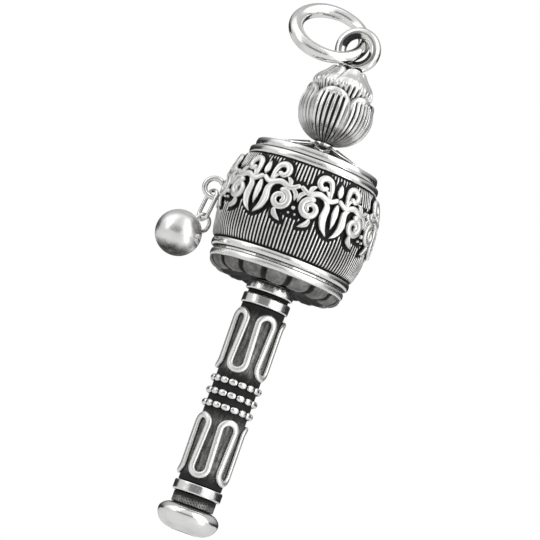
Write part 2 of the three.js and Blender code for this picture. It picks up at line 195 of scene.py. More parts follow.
def new_recipe(name):
    """A new material and the recipe that fills it."""
    material = bpy.data.materials.new(name)
    material.use_nodes = True
    return material, Recipe(material.node_tree)

# %% [markdown]
# ## Light
# Polished silver has almost no colour of its own: it shows the room around it. A jeweller
# shows it in a white tent with darker gaps, and those gaps draw the grey stripes and the dark
# edges that make metal read as metal. Here the world plays the tent: bright panels to
# the left and right, a bright top, and dim areas in front, behind and below. The camera itself
# sees plain white.

# %% The tent
def light_tent():
    """Brightness by direction. Azimuth is 0 towards the camera and grows to the right: a broad
    panel stands on each side, and a third lies overhead."""
    world = bpy.data.worlds.new("tent")
    bpy.context.scene.world = world
    world.use_nodes = True
    tent = Recipe(world.node_tree)
    direction = tent.add("ShaderNodeTexCoord", output="Generated")
    split = tent.add("ShaderNodeSeparateXYZ", {}, {"Vector": direction})
    x, y, z = (Value(tent, split.socket.node.outputs[axis]) for axis in "XYZ")
    azimuth = tent.add("ShaderNodeMath", {"operation": "ARCTAN2"}, {0: x, 1: y * -1})
    left = tent.band(azimuth, -2.05, -1.85) * (1 - tent.band(azimuth, -0.95, -0.60))
    right = tent.band(azimuth, 0.20, 0.36) * (1 - tent.band(azimuth, 1.40, 1.60))
    front = 1 - tent.band(abs(azimuth), 1.2, 2.1)
    top = tent.band(z, 0.12, 0.62)
    below = tent.band(z * -1, 0.35, 0.80)
    glow = 0.03 + front * 0.18 + (left * 0.50 + right * 0.85) * (1 - below) + top * 0.50
    inner = tent.add("ShaderNodeBackground", {}, {"Color": (0.985, 0.99, 1.0, 1), "Strength": glow})
    plain = tent.add("ShaderNodeBackground", {}, {"Color": (1, 1, 1, 1), "Strength": 1.0})
    seen = tent.add("ShaderNodeLightPath", output="Is Camera Ray")
    both = tent.add("ShaderNodeMixShader", {}, {0: seen, 1: inner, 2: plain})
    tent.add("ShaderNodeOutputWorld", {}, {"Surface": both})


def soft_box(name, place, width, height, power):
    """A rectangular lamp at place, facing the middle of the pendant."""
    lamp = bpy.data.lights.new(name, "AREA")
    lamp.shape = "RECTANGLE"
    lamp.size = width
    lamp.size_y = height
    lamp.energy = power
    holder = bpy.data.objects.new(name, lamp)
    holder.location = place
    holder.rotation_euler = (aim - Vector(place)).to_track_quat("-Z", "Y").to_euler()
    bpy.context.scene.collection.objects.link(holder)


light_tent()
soft_box("box_left", (-0.30, -0.16, 0.14), 0.08, 0.26, 0.08)
soft_box("box_right", (0.24, -0.26, 0.06), 0.10, 0.30, 0.17)
soft_box("box_low", (0.20, -0.12, -0.10), 0.08, 0.08, 0.04)

# %% [markdown]
# ## Silver, blackened and polished
# Each piece carries a number on every vertex: 0 on the high places that the polishing wheel reaches
# and 1 at the bottom of the hollows. On some pieces the same number also holds painted shade: on the
# weight's underside, inside the eye, on the bud's petals, at the top of the knob's neck and in
# patches on the knob. The finish turns that number, roughened by a fine noise, into soot and painted
# shade. Hairline scratches, cloudy handling marks and a fine cast grain keep the bright parts from
# looking like plastic chrome.

# %% The silver finishes
CLEAN = (0.93, 0.925, 0.91, 1)
DULL = (0.60, 0.585, 0.565, 1)
SOOT_AND_PAINTED_SHADE = (0.030, 0.029, 0.030, 1)
DARKENING_STARTS, DARKENING_FULL = 0.35, 0.73


def silver(name, roughness, tarnish, mottle=0.22, grain=6e-6):
    """Silver whose soot and painted shade follow the vertex darkening attribute, and whose tarnish
    comes in clouds.
    """
    material, mix = new_recipe(name)
    recess_and_painted_shade = mix.add("ShaderNodeAttribute", {"attribute_name": "recess_and_painted_shade"}, output="Fac")
    clouds = mix.noise(420, 4)
    pits = mix.noise(5200, 3)
    worn = mix.noise(1500, 3)
    fine = mix.place(stretch=(14, 1, 1.6), turn=(0.5, 0.3, 0.9))
    cross = mix.place(stretch=(1.3, 12, 1), turn=(-0.6, 0.9, 0.2))
    first = 1 - mix.band(abs(mix.noise(520, 1, fine) - 0.5), 0.0, 0.012)
    second = 1 - mix.band(abs(mix.noise(430, 1, cross) - 0.5), 0.0, 0.010)
    hairs = first.at_least(second) * mix.band(worn, 0.42, 0.62)
    # The dark mask: real oxide in the hollows, plus painted shade where a piece has put it into the
    # same vertex number.
    soot_and_painted_shade = mix.band(recess_and_painted_shade + (worn - 0.5) * mottle + (pits - 0.5) * 0.10, DARKENING_STARTS, DARKENING_FULL)
    stain = mix.band(clouds + recess_and_painted_shade * 0.35, 0.46, 0.86) * tarnish
    metal = mix.blend(stain, CLEAN, DULL)
    colour = mix.blend(soot_and_painted_shade, metal, SOOT_AND_PAINTED_SHADE)
    rough = roughness + stain * 0.14 + hairs * 0.10 + soot_and_painted_shade * 0.36
    relief = mix.bump(pits * 0.7 + hairs * -0.35 + worn * 0.6, grain)
    mix.finish({
        "Base Color": colour,
        "Metallic": 1 - soot_and_painted_shade * 0.35,
        "Roughness": rough,
        "Normal": relief,
    })
    return material


polished = silver("polished_silver", 0.13, 0.55)
brushed = silver("satin_silver", 0.27, 0.55, grain=9e-6)
rubbed = silver("rubbed_silver", 0.40, 0.30, grain=9e-6)
blackened = silver("oxidised_silver", 0.27, 1.0, mottle=0.12, grain=1.6e-5)

# %% [markdown]
# ## Brass, paper and thread
# These are the parts inside the drum, seen only when it is taken apart: brass bushes, a rolled
# strip of paper and the thread that ties it. The paper's edge shows its layers, and the thread
# is two strands twisted together.

# %% The inner finishes
def brass_finish():
    """Turned brass: rings of tool marks, brown where it has aged."""
    material, mix = new_recipe("brass")
    marks = mix.noise(2600, 2, mix.place(stretch=(0.2, 0.2, 6)))
    age = mix.band(mix.noise(700, 4), 0.4, 0.7)
    colour = mix.blend(age, (0.80, 0.60, 0.28, 1), (0.42, 0.27, 0.11, 1))
    mix.finish({
        "Base Color": colour,
        "Metallic": 1.0,
        "Roughness": 0.22 + marks * 0.14 + age * 0.16,
        "Normal": mix.bump(marks, 8e-6),
    })
    return material


def paper_finish():
    """Rice paper: pale fibres, browner towards its rolled edge."""
    material, mix = new_recipe("scroll_paper")
    fibres = mix.noise(3200, 5, mix.place(stretch=(1, 1, 0.15)))
    foxing = mix.band(mix.noise(500, 5), 0.52, 0.72)
    pale = mix.blend(fibres, (0.70, 0.60, 0.41, 1), (0.86, 0.79, 0.62, 1))
    mix.finish({
        "Base Color": mix.blend(foxing, pale, (0.55, 0.40, 0.22, 1)),
        "Roughness": 0.82 + fibres * 0.12,
        "Normal": mix.bump(fibres, 3e-5),
    })
    return material


def thread_finish():
    """Dyed cotton: a slanting wave for the twist, and fibres over it."""
    material, mix = new_recipe("cotton_thread")
    sockets = {"Vector": mix.place(turn=(0, 0.6, 0.6)), "Scale": 900, "Distortion": 1.5}
    twist = mix.add("ShaderNodeTexWave", {}, sockets, "Fac")
    fibres = mix.noise(9000, 4)
    shade = mix.blend(twist * 0.7 + fibres * 0.3, (0.17, 0.02, 0.02, 1), (0.50, 0.08, 0.06, 1))
    mix.finish({
        "Base Color": shade,
        "Roughness": 0.85 + fibres * 0.1,
        "Normal": mix.bump(twist * 0.8 + fibres * 0.2, 5e-5),
    })
    return material


brass = brass_finish()
paper = paper_finish()
thread = thread_finish()
print("inner finishes:", brass.name, paper.name, thread.name)

# %% [markdown]
# ## How the shapes are made
# Every piece is a grid of points worked out by a formula: a profile turned about the spindle,
# or a section carried along a path. All of them are closed shells, so the grid's columns run
# right round, and its rows either end in a point at both ends or come back to the first row.
# Sizes are written in millimetres, as on a jeweller's drawing, and turned into metres once.

# %% From a grid of points to a piece
MM = 0.001


def shell(points, recess_and_painted_shade=0.0, loop=False):
    """The faces of a closed grid. Each cell's corners are itself, the next column, the next
    row's next column and the next row, which faces outwards where columns run anticlockwise
    round the outside and rows run up it. At a pole the cell is a triangle."""
    rows, columns, _ = points.shape
    index = np.arange(rows * columns).reshape(rows, columns)
    recess_and_painted_shade = np.broadcast_to(recess_and_painted_shade, (rows, columns)).astype(float)
    if not loop:
        index[0] = index[0, 0]
        index[-1] = index[-1, 0]
    low = index if loop else index[:-1]
    high = np.roll(index, -1, 0) if loop else index[1:]
    quads = np.stack([low, np.roll(low, -1, 1), np.roll(high, -1, 1), high], -1)
    if loop:
        triangles = np.zeros((0, 3), int)
    else:
        first = quads[0][:, [0, 2, 3]]
        last = quads[-1][:, [0, 1, 2]]
        triangles = np.concatenate([first, last])
        quads = quads[1:-1]
    quads = quads.reshape(-1, 4)
    used, flat = np.unique(np.concatenate([quads.ravel(), triangles.ravel()]), return_inverse=True)
    corners = np.concatenate([np.full(len(quads), 4), np.full(len(triangles), 3)])
    return points.reshape(-1, 3)[used], flat.ravel(), corners, recess_and_painted_shade.ravel()[used]


def make_piece(name, shells, material, body):
    """One object from closed shells, which replaces the frame's node of the same name and
    rides on that node's body."""
    offsets = np.cumsum([0] + [len(s[0]) for s in shells[:-1]])
    points = np.concatenate([s[0] for s in shells]) * MM
    links = np.concatenate([s[1] + offset for s, offset in zip(shells, offsets)])
    corners = np.concatenate([s[2] for s in shells])
    recess_and_painted_shade = np.concatenate([s[3] for s in shells])
    mesh = bpy.data.meshes.new(name)
    mesh.vertices.add(len(points))
    mesh.vertices.foreach_set("co", points.ravel())
    mesh.loops.add(len(links))
    mesh.loops.foreach_set("vertex_index", links)
    mesh.polygons.add(len(corners))
    mesh.polygons.foreach_set("loop_start", np.cumsum(corners) - corners)
    mesh.polygons.foreach_set("loop_total", corners)
    mesh.update(calc_edges=True)
    mesh.validate()
    mesh.polygons.foreach_set("use_smooth", np.ones(len(mesh.polygons), bool))
    # The vertex number read by the silver finishes: oxide in the hollows and, on some pieces, painted
    # shade.
    layer = mesh.attributes.new("recess_and_painted_shade", "FLOAT", "POINT")
    layer.data.foreach_set("value", np.clip(recess_and_painted_shade, 0, 1))
    mesh.materials.append(material)
    piece = bpy.data.objects.new(name, mesh)
    bpy.context.scene.collection.objects.link(piece)
    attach(piece, body)
    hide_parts(name)
    print(f"{name}: {len(points)} points, {len(corners)} faces")

# %% Curves and profiles
def unit(vectors):
    """Each vector divided by its own length."""
    return vectors / np.maximum(np.linalg.norm(vectors, axis=-1, keepdims=True), 1e-12)


def step(value, low, high):
    """0 below low, 1 above high, and 3t^2 - 2t^3 between them."""
    t = np.clip((value - low) / (high - low), 0, 1)
    return t * t * (3 - 2 * t)


def curve_through(points, count):
    """A Catmull-Rom curve: it passes through every point, and its direction at each one is
    that of the line between the two neighbours."""
    points = np.array(points, float)
    ends = [2 * points[0] - points[1], *points, 2 * points[-1] - points[-2]]
    p = np.array(ends)
    t = np.linspace(0, len(points) - 1, count)
    i = np.minimum(t.astype(int), len(points) - 2)
    f = (t - i)[:, None]
    a, b, c, d = p[i], p[i + 1], p[i + 2], p[i + 3]
    return 0.5 * (2 * b + (c - a) * f + (2 * a - 5 * b + 4 * c - d) * f**2
                  + (3 * b - a - 3 * c + d) * f**3)


BEND_STEPS = 6


def eased(corners, cut, closed=True):
    """A polygon with softened corners: each corner gives way to a parabola that starts and
    ends cut millimetres away from it, or less where an edge is short. An open one keeps its
    first and last point."""
    p = np.array(corners, float)
    back, ahead = np.roll(p, 1, 0) - p, np.roll(p, -1, 0) - p
    reach_back = np.minimum(cut, 0.45 * np.linalg.norm(back, axis=1))[:, None]
    reach_ahead = np.minimum(cut, 0.45 * np.linalg.norm(ahead, axis=1))[:, None]
    start, end = p + unit(back) * reach_back, p + unit(ahead) * reach_ahead
    t = np.linspace(0, 1, BEND_STEPS)[None, :, None]
    bends = (1 - t)**2 * start[:, None] + 2 * t * (1 - t) * p[:, None] + t**2 * end[:, None]
    if closed:
        return bends.reshape(-1, 2)
    return np.concatenate([p[:1], bends[1:-1].reshape(-1, 2), p[-1:]])


def filled(profile, spacing):
    """The same outline with extra points, none further apart than spacing."""
    p = np.array(profile, float)
    gaps = np.linalg.norm(np.diff(p, axis=0), axis=1)
    along = np.concatenate([[0], np.cumsum(gaps)])
    extra = np.arange(0, along[-1], spacing)
    where = np.unique(np.round(np.concatenate([along, extra]), 6))
    return np.stack([np.interp(where, along, p[:, k]) for k in (0, 1)], 1)


def all_round(outline, spacing):
    """A closed outline with extra points, on the stretch from its last point to its first too."""
    p = np.array(outline, float)
    return filled(np.concatenate([p, p[:1]]), spacing)[:-1]


def circle(count):
    """Evenly spaced angles, once round."""
    return np.linspace(0, 2 * np.pi, count, endpoint=False)


def about_axis(radius, angle, height):
    """Points at a radius and an angle about the spindle's axis."""
    flat = np.broadcast_arrays(radius * np.cos(angle), radius * np.sin(angle), height)
    return np.stack(flat, -1)


def turned(profile, columns, dents=0.0, phase=0.0):
    """A [radius, height] profile turned about Z. Dents are slow waves round and up the piece,
    of that many millimetres, as handwork and use leave them."""
    angle = circle(columns)[None, :]
    r, z = profile[:, :1], profile[:, 1:]
    waves = np.sin(3 * angle + 1.7 * z + phase) + np.sin(5 * angle - 2.3 * z + 2 * phase)
    waves = waves + 0.6 * np.sin(11 * angle + 4.1 * z + 3 * phase)
    return about_axis(r + dents * waves * np.minimum(1, r), angle, z)


COLLAR_COLUMNS, COLLAR_DENTS = 160, 0.004


def ring(inner, outer, low, high, soft, soot_and_painted_shade=0.0):
    """A collar: a rectangle with softened corners turned about Z. Its bore and its two faces
    are in the dark from a quarter of a millimetre in, and soot is the least recess anywhere."""
    outline = eased([(inner, low), (outer, low), (outer, high), (inner, high)], soft)
    outline = all_round(outline, 0.12)
    points = turned(outline, COLLAR_COLUMNS, COLLAR_DENTS, phase=low)
    depth = (outer - outline[:, 0]) / 0.25
    return shell(points, np.maximum(step(depth, 0.15, 1.0), soot_and_painted_shade)[:, None], loop=True)


def tube(path, outward, half_height, half_width, around, power=2.0, recess_and_painted_shade=0.0, loop=True,
         crease=0.0):
    """A section carried along a path. Its half-height points outward and its half-width lies
    across, and |x/w|^power + |y/h|^power = 1 is its outline: 2 is an oval, more is flatter.
    A crease presses a groove along the middle of its top, that share of the height deep."""
    if loop:
        along = unit(np.roll(path, -1, 0) - np.roll(path, 1, 0))
    else:
        along = unit(np.gradient(path, axis=0))
    side = unit(np.cross(along, outward))
    out = unit(np.cross(side, along))
    c, s = np.cos(circle(around)), np.sin(circle(around))
    groove = 1 - crease * np.exp(-(s / 0.30)**2) * (c > 0)
    rise = (np.sign(c) * np.abs(c)**(2 / power) * groove)[None, :, None]
    across = (np.sign(s) * np.abs(s)**(2 / power))[None, :, None]
    h = np.broadcast_to(half_height, len(path))[:, None, None]
    w = np.broadcast_to(half_width, len(path))[:, None, None]
    points = path[:, None] + out[:, None] * rise * h + side[:, None] * across * w
    return shell(points, recess_and_painted_shade, loop)


def hoop(centre, first, second, radius, wire, steps, around, opening=0.0):
    """A round wire bent into a circle of that radius, first and second being two directions
    in its plane. With an opening, it is an arc that starts and ends that many radians from
    first, with rounded ends."""
    if opening:
        t = np.linspace(opening, 2 * np.pi - opening, steps)
        ends = np.sin(np.linspace(0, np.pi, steps))
        swell = np.minimum(1, ends * steps / 9)**0.5
        swell[[0, -1]] = 0
    else:
        t = circle(steps)
        swell = np.ones(steps)
    first, second = np.array(first, float), np.array(second, float)
    out = np.cos(t)[:, None] * first + np.sin(t)[:, None] * second
    path = np.array(centre, float) + radius * out
    return tube(path, out, wire * swell, wire * swell, around, loop=not opening)


print("shape helpers ready")

# %% [markdown]
# ## The handle
# The grip is a tube of blackened silver with wire laid on it and soldered down. Two looped
# wires run right round it, one above and one below three rows of beaded wire, and smooth
# collars close it at both ends. The core stays black because nothing rubs it between the
# wires, so its recess is high everywhere, with paler rubbed streaks along it.

# %% The grip's core
GRIP_R = 2.25
GRIP_HALF = 9.35
BORE_R = 0.6
SOCKET_Z = 4.95


def grip_core():
    """A turned tube, closed at its foot. Its surface is slightly hammered: three crossing
    waves of a few microns."""
    outline = [(0, -GRIP_HALF), (GRIP_R, -GRIP_HALF), (GRIP_R, GRIP_HALF),
               (BORE_R, GRIP_HALF), (BORE_R, SOCKET_Z), (0, SOCKET_Z)]
    profile = filled(eased(outline, 0.1, closed=False), 0.15)
    points = turned(profile, 120, 0.006)
    angle = circle(120)[None, :]
    z = profile[:, 1:]
    streaks = np.sin(29 * angle + 0.8 * np.sin(1.9 * z)) * np.sin(0.9 * z + 2 * angle)
    streaks = streaks + 0.6 * np.sin(47 * angle + np.sin(3.1 * z)) * np.sin(2.3 * z - angle)
    middle = step(np.abs(z), 1.4, 3.0) * (1 - step(np.abs(z), 7.6, 9.2))
    return shell(points, 0.74 - 0.12 * middle - 0.04 * streaks * middle)


make_piece("grip_core", [grip_core()], blackened, "handle")

# %% [markdown]
# The looped wire is one closed line: upright limbs joined by half-round bends, alternately
# above and below. Seen flat, one loop is a straight limb followed by half a circle that is a
# little wider than the gap between limbs, which gives the closed ends their bulb. The same
# two arcs, turned over and shifted, make the whole wire, and bending the flat line round the
# grip is only a matter of reading its length as an angle.

# %% The looped wires
WIRE_R = 2.41
ROLLED_R = 2.43
LOOPS = 5
BULB = 0.1
FIRST_LOOP = math.radians(-90 - 51.5)


def looped_wire(low, high):
    """Half a period is a limb and a bend, sampled evenly; ten of them, every second one
    upside down, go round the grip."""
    quarter = np.pi * ROLLED_R / LOOPS / 2
    bend = quarter + BULB
    limb = np.linspace(0, 1, 22, endpoint=False)
    turn = np.linspace(0, np.pi, 26, endpoint=False)
    along = np.concatenate([BULB * (1 - 2 * limb), quarter - bend * np.cos(turn)])
    height = np.concatenate([bend + limb * (high - low - 2 * bend),
                             high - low - bend + bend * np.sin(turn)])
    halves = np.arange(2 * LOOPS)[:, None]
    flip = halves % 2 == 1
    s = along + (2 * halves - 1) * quarter
    z = np.where(flip, high - height, low + height)
    angle = FIRST_LOOP + s.ravel() / ROLLED_R
    out = about_axis(1, angle, 0 * angle)
    path = about_axis(WIRE_R, angle, z.ravel())
    seat = step(-np.cos(circle(14)), -0.25, 0.6)
    return tube(path, out, 0.26, 0.335, 14, 2.4, seat[None, :])


make_piece("grip_wire_upper", [looped_wire(2.6, 8.5)], rubbed, "handle")
make_piece("grip_wire_lower", [looped_wire(-8.5, -2.6)], rubbed, "handle")

# %% [markdown]
# Beaded wire is made by pressing plain wire between grooved blocks. One ring of it is a round
# section whose size follows the beads: almost a full circle's arc over each bead, and a thin
# neck between two of them, where the soot sits.

# %% The bead rows
BEADS = 16
BEAD_R = 2.42


def bead_row(z, turn):
    """A closed ring whose half-size is the root of 1 - t^2 over each bead, t running from -1
    to 1 along it, and never less than a thin neck."""
    steps = BEADS * 18
    u = np.linspace(0, 1, steps, endpoint=False)
    t = 2 * ((u * BEADS) % 1) - 1
    swell = np.maximum(np.sqrt(np.maximum(0, 1 - np.abs(t)**2.3)), 0.36)
    angle = 2 * np.pi * u + turn
    out = about_axis(1, angle, 0 * angle)
    path = about_axis(BEAD_R, angle, z)
    under = step(-np.cos(circle(16))[None, :], -0.3, 0.7)
    neck = 1 - step(swell, 0.40, 0.75)[:, None]
    return tube(path, out, 0.27 * swell, 0.36 * swell, 16, recess_and_painted_shade=np.maximum(under, neck))


for name, z, turn in (("upper", 1.3, 0.05), ("middle", 0.0, 0.17), ("lower", -1.3, 0.10)):
    make_piece("bead_row_" + name, [bead_row(z, turn)], polished, "handle")

# %% [markdown]
# The collars were turned on a lathe and buffed. Real buffing leaves a surface that is almost,
# but not quite, round, and that small error is what makes the reflections on a silver ring
# wander. The slow waves of a few microns in `turned` do this.

# %% Collars above and below the grip
TENON_HOLE_R = 1.05
spacer = ring(BORE_R, 2.10, 10.50, 10.80, 0.05, soot_and_painted_shade=0.9)
make_piece("grip_collar", [ring(BORE_R, 2.45, 9.40, 10.45, 0.16)], polished, "handle")
make_piece("collar_spacer", [spacer], blackened, "handle")
make_piece("top_collar", [ring(BORE_R, 2.45, 10.85, 11.80, 0.16)], polished, "handle")
make_piece("end_collar", [ring(TENON_HOLE_R, 2.50, -10.45, -9.40, 0.18)], polished, "handle")

# %% [markdown]
# The foot of the handle is a cushion-shaped knob with a flat underneath, on a pitted neck.
# The neck was never polished after casting, so it is rough and black.

# %% The neck and the knob
def pommel_neck():
    """A short ring with pits: where a product of crossing waves is low, the surface is
    pressed in by three hundredths of a millimetre."""
    outline = [(TENON_HOLE_R, -11.60), (2.2, -11.60), (2.2, -10.50), (TENON_HOLE_R, -10.50)]
    outline = all_round(eased(outline, 0.1), 0.05)
    angle = circle(260)[None, :]
    r, z = outline[:, :1], outline[:, 1:]
    cells = np.sin(17 * angle + 9 * z) * np.sin(29 * angle - 13 * z) + np.sin(43 * angle + 17 * z)
    pit = step(-cells, 0.2, 1.2) * step(r, 1.9, 2.15)
    points = about_axis(r - 0.03 * pit, angle, z)
    # Painted shadow: the top of the neck, just under the end collar, gets 0.18 more recess.
    return shell(points, 0.58 + 0.10 * pit + 0.18 * step(z, -11.2, -10.6), loop=True)


def pommel():
    """The knob's outline is one smooth curve through its driving sizes. Its top, where it meets the
    neck, is deep in the recess. Painted dark reflection lies on it in two patches: below its waist at
    the front, and above its waist at the back."""
    bulge = curve_through([(1.3, -14.25), (2.2, -14.02), (2.85, -13.5), (3.15, -12.75),
                           (3.03, -12.25), (2.6, -11.85), (2.1, -11.66)], 60)
    outline = np.concatenate([[(0, -14.25), (1.25, -14.25)], bulge, [(1.0, -11.65)],
                              [(1.0, -9.5), (0, -9.45)]])
    profile = filled(outline, 0.12)
    points = turned(profile, 160, 0.008, 2.0)
    top = step(profile[:, 1], -12.05, -11.72) * step(profile[:, 0], 0.0, 1.0)
    angle = circle(160)[None, :]
    # Painted dark reflection: 0.30 more recess in patches fixed round the knob.
    painted_dark_reflection = step(np.cos(angle + 1.9) * np.sin(2.2 * profile[:, 1:] + 1.0), 0.55, 0.95)
    return shell(points, 0.85 * top[:, None] + 0.30 * painted_dark_reflection)


make_piece("pommel_neck", [pommel_neck()], blackened, "handle")
make_piece("pommel", [pommel()], polished, "handle")

# %% [markdown]
# ## The lotus bud
# Six outer petals cup six inner ones. A petal is a thin leaf of metal whose width grows from
# the stem and closes over a rounded tip. In this grid a row is one level of the petal, and its
# columns run across the outer face and back across the inner one. Fine ribs follow the lines
# of constant angle, so they draw together at the stem by themselves, and they stop short of
# the tip, which leaves the smooth bright border that real cast petals have.

# %% A ribbed petal
def petal(outline, turn, half_angle, lift, ribs, tip, border, rib_depth, shade):
    """Level v runs up the outline and u from -1 to 1 across. The half-width in radians is
    half_angle up to the tip's share of the height and then closes as the root of 1 - t^2.2.
    Radius is the outline's plus a bulge of 1 - u^2, and ribs are pressed in between borders.
    Painted shade, as strong as shade, is added to the recess at the foot and near the side edges of
    the outer face."""
    rows = 64
    v = np.linspace(0, 1, rows)[:, None]
    r, z = curve_through(outline, rows).T[:, :, None]
    width = half_angle * np.sqrt(1 - np.clip((v - tip) / (1 - tip), 0, 1)**2.2)
    width = width * np.sqrt(np.clip(v / 0.04, 0, 1))
    outer = np.linspace(-1, 1, 121)
    inner = np.linspace(1, -1, 19)[1:-1]
    u = np.concatenate([outer, inner])[None, :]
    face = np.concatenate([np.ones_like(outer), -np.ones_like(inner)])[None, :]
    edge = 1 - np.abs(u)**6
    ends = np.sqrt(np.clip((1 - v) / 0.05, 0, 1))
    plump = face * 0.11 * np.sqrt(np.clip(edge, 0, 1)) * ends
    from_side = (1 - np.abs(u)) * width * r
    from_tip = (1 - v) * 4.2
    inside = step(from_tip, border * 0.7, border * 1.25)
    inside = inside * step(from_side, border * 0.25, border * 0.7 + 0.35 * (1 - v))
    inside = np.maximum(inside, step(0.55 - v, 0.0, 0.3) * step(from_side, 0.0, 0.12))
    wave = 0.5 - 0.5 * np.cos(np.pi * ribs * (u * width / half_angle + 1))
    groove = (1 - step(wave, 0.22, 0.68)) * inside * (face > 0)
    rise = 0.16 * (1 - u**2) * step(v, 0.1, 0.6) + lift
    radius = r + rise + plump - rib_depth * groove
    radius = radius + 0.07 * (1 - inside) * step(v, 0.4, 0.7) * (face > 0) * edge
    angle = turn + u * width
    points = about_axis(radius, angle, z)
    rim = 1 - step(from_side, 0.0, 0.10)
    # Painted shade: the outer face darkens towards its foot and towards its side edges.
    painted_petal_shade = shade * np.maximum(1 - step(v, 0.05, 0.55), step(np.abs(u), 0.45, 0.95))
    soot_and_painted_shade = np.maximum(groove * 0.76, 0.55 * rim * step(0.7 - v, 0, 0.3))
    soot_and_painted_shade = np.where(face > 0, np.maximum(soot_and_painted_shade, painted_petal_shade), 0.9)
    return shell(points, soot_and_painted_shade)

# %% The outer and the inner petals
PETALS = 6
FIRST_PETAL = math.radians(-102)


def outer_bud():
    """Six petals, every second one a little further out so that they overlap, round a cup."""
    outline = [(0.75, 27.18), (1.50, 27.36), (2.35, 27.84), (3.1, 28.65), (3.50, 29.7),
               (3.58, 30.7), (3.42, 31.5), (3.28, 32.1), (3.16, 32.55)]
    petals = [petal(outline, FIRST_PETAL + k * np.pi / 3, 0.61, 0.06 - 0.12 * (k % 2), 8, 0.45,
                    0.80, 0.22, 0.52) for k in range(PETALS)]
    cup = filled([(0, 28.65), (BORE_R, 28.65), (BORE_R, 27.15), (0.8, 27.15), (1.9, 27.6),
                  (2.9, 28.6), (3.3, 29.7), (3.35, 30.6), (3.1, 31.7), (2.6, 30.6),
                  (0, 30.6)], 0.25)
    return petals + [shell(turned(cup, 96), 1.0)]


def inner_bud():
    """Six shorter petals that stand over the gaps of the outer ones, round a solid heart that
    carries the eye."""
    outline = [(2.35, 30.75), (2.66, 31.6), (2.80, 32.4), (2.96, 33.05), (2.60, 33.70),
               (1.95, 34.35), (1.56, 34.85), (1.36, 35.15)]
    petals = [petal(outline, FIRST_PETAL + (k + 0.5) * np.pi / 3, 0.70 - 0.10 * (k % 2),
                    0.09 - 0.17 * (k % 2), 8, 0.40, 2.2, 0.20, 0.40) for k in range(PETALS)]
    heart = filled(eased([(0, 30.65), (2.3, 30.65), (2.6, 32.0), (2.45, 33.2), (1.7, 34.3),
                          (1.25, 34.95), (0, 35.0)], 0.3, closed=False), 0.2)
    return petals + [shell(turned(heart, 96, 0.03), 0.8)]


make_piece("bud_outer_petals", outer_bud(), brushed, "handle")
make_piece("bud_inner_petals", inner_bud(), brushed, "handle")

# %% [markdown]
# ## The eye and the hanging ring
# Both are heavy round wire bent into a circle and soldered shut. They were polished after
# everything else and are worn by each other, so they are the brightest parts. A faint swelling
# of the wire where it was hammered round keeps them from being perfect circles.

# %% Eye and hanging ring
EYE_TURN = math.radians(-15)
EYE_CENTRE, EYE_R, EYE_WIRE_R = (0, 0, 37.25), 1.78, 0.59
RING_LEAN = math.radians(43)
RING_CENTRE, RING_R, RING_WIRE_R = (-3.2, 0.7, 38.0), 3.6, 0.615


def worn_hoop(centre, first, second, radius, wire, wobble, soot_and_painted_shade=0.0, full=0.0):
    """A hoop whose wire thickness has a slow wave round it, and is thicker by full away from the side
    near first, where the other ring wears it. Painted shade lies on the side of the wire that faces
    the hole, darkest at two opposite places round it; the argument after wobble sets how dark it is."""
    t = circle(180)
    first, second = np.array(first), np.array(second)
    out = np.cos(t)[:, None] * first + np.sin(t)[:, None] * second
    size = wire * (1 + wobble * (np.sin(3 * t + 1) + 0.6 * np.sin(7 * t)))
    size = size + full * step(-np.cos(t), -0.55, 0.45)
    facing_in = step(-np.cos(circle(40))[None, :], -0.25, 0.55)
    # Painted shade on the inside of the wire, strongest at two opposite places round the hoop.
    painted_eye_shade = 0.5 + 0.5 * np.cos(2 * (t[:, None] - 2.4))
    recess_and_painted_shade = soot_and_painted_shade * facing_in * step(painted_eye_shade, 0.1, 0.8)
    return tube(np.array(centre) + radius * out, out, size, size, 40, recess_and_painted_shade=recess_and_painted_shade)


eye_across = [math.cos(EYE_TURN), math.sin(EYE_TURN), 0]
ring_up = [0, math.sin(RING_LEAN), math.cos(RING_LEAN)]
# The eye gets painted shade of full strength on its inside.
eye = worn_hoop(EYE_CENTRE, eye_across, [0, 0, 1.0], EYE_R, EYE_WIRE_R, 0.006, soot_and_painted_shade=1.0)
hanging_ring = worn_hoop(RING_CENTRE, [1.0, 0, 0], ring_up, RING_R, RING_WIRE_R, 0.004, full=0.12)
make_piece("eye", [eye], polished, "handle")
make_piece("hanging_ring", [hanging_ring], polished, "hanging_ring")

# %% [markdown]
# ## The ornament on the drum
# A vine runs right round the drum in twelve raised flourishes. Each has a wavy length of stem
# with two small leaves, a tendril rolled into an open volute, a long tapering leaf, a curl up
# the wall and a few beads. Neighbours are mirror images, so each pair closes into a
# symmetrical palmette, with a bud standing and a leaf hanging on the line where they meet. The
# flourish beside the eyelet lacks its long leaf, to leave the chain room. They are drawn flat
# first, as strokes with a changing width, because the wall's own pattern has to know where
# they are.

# %% The strokes of one flourish
MOTIFS = 12
EYELET_MOTIF = 9
FIRST_MOTIF = math.radians(-80)
MOTIF_Z = 19.6
SKIN_R = 7.8


def volute(s, t, radius, start, sweep, shrink, count):
    """Points of a spiral: radius falls evenly by shrink while the angle goes through sweep."""
    share = np.linspace(0, 1, count)
    angle = start + sweep * share
    r = radius * (1 - shrink * share)
    return np.stack([s + r * np.cos(angle), t + r * np.sin(angle)], 1)


def bead_stroke(s, t, size):
    """A round bead: a stroke hardly longer than it is wide."""
    return [(s - size, t), (s, t), (s + size, t)], [size, size, size], 0.0


def leaf(points, width):
    """A leaf: pointed at its tip, narrow at its stalk, widest a third of the way along."""
    return points, [0.07, 0.80 * width, width, 0.72 * width, 0.03], 0.45


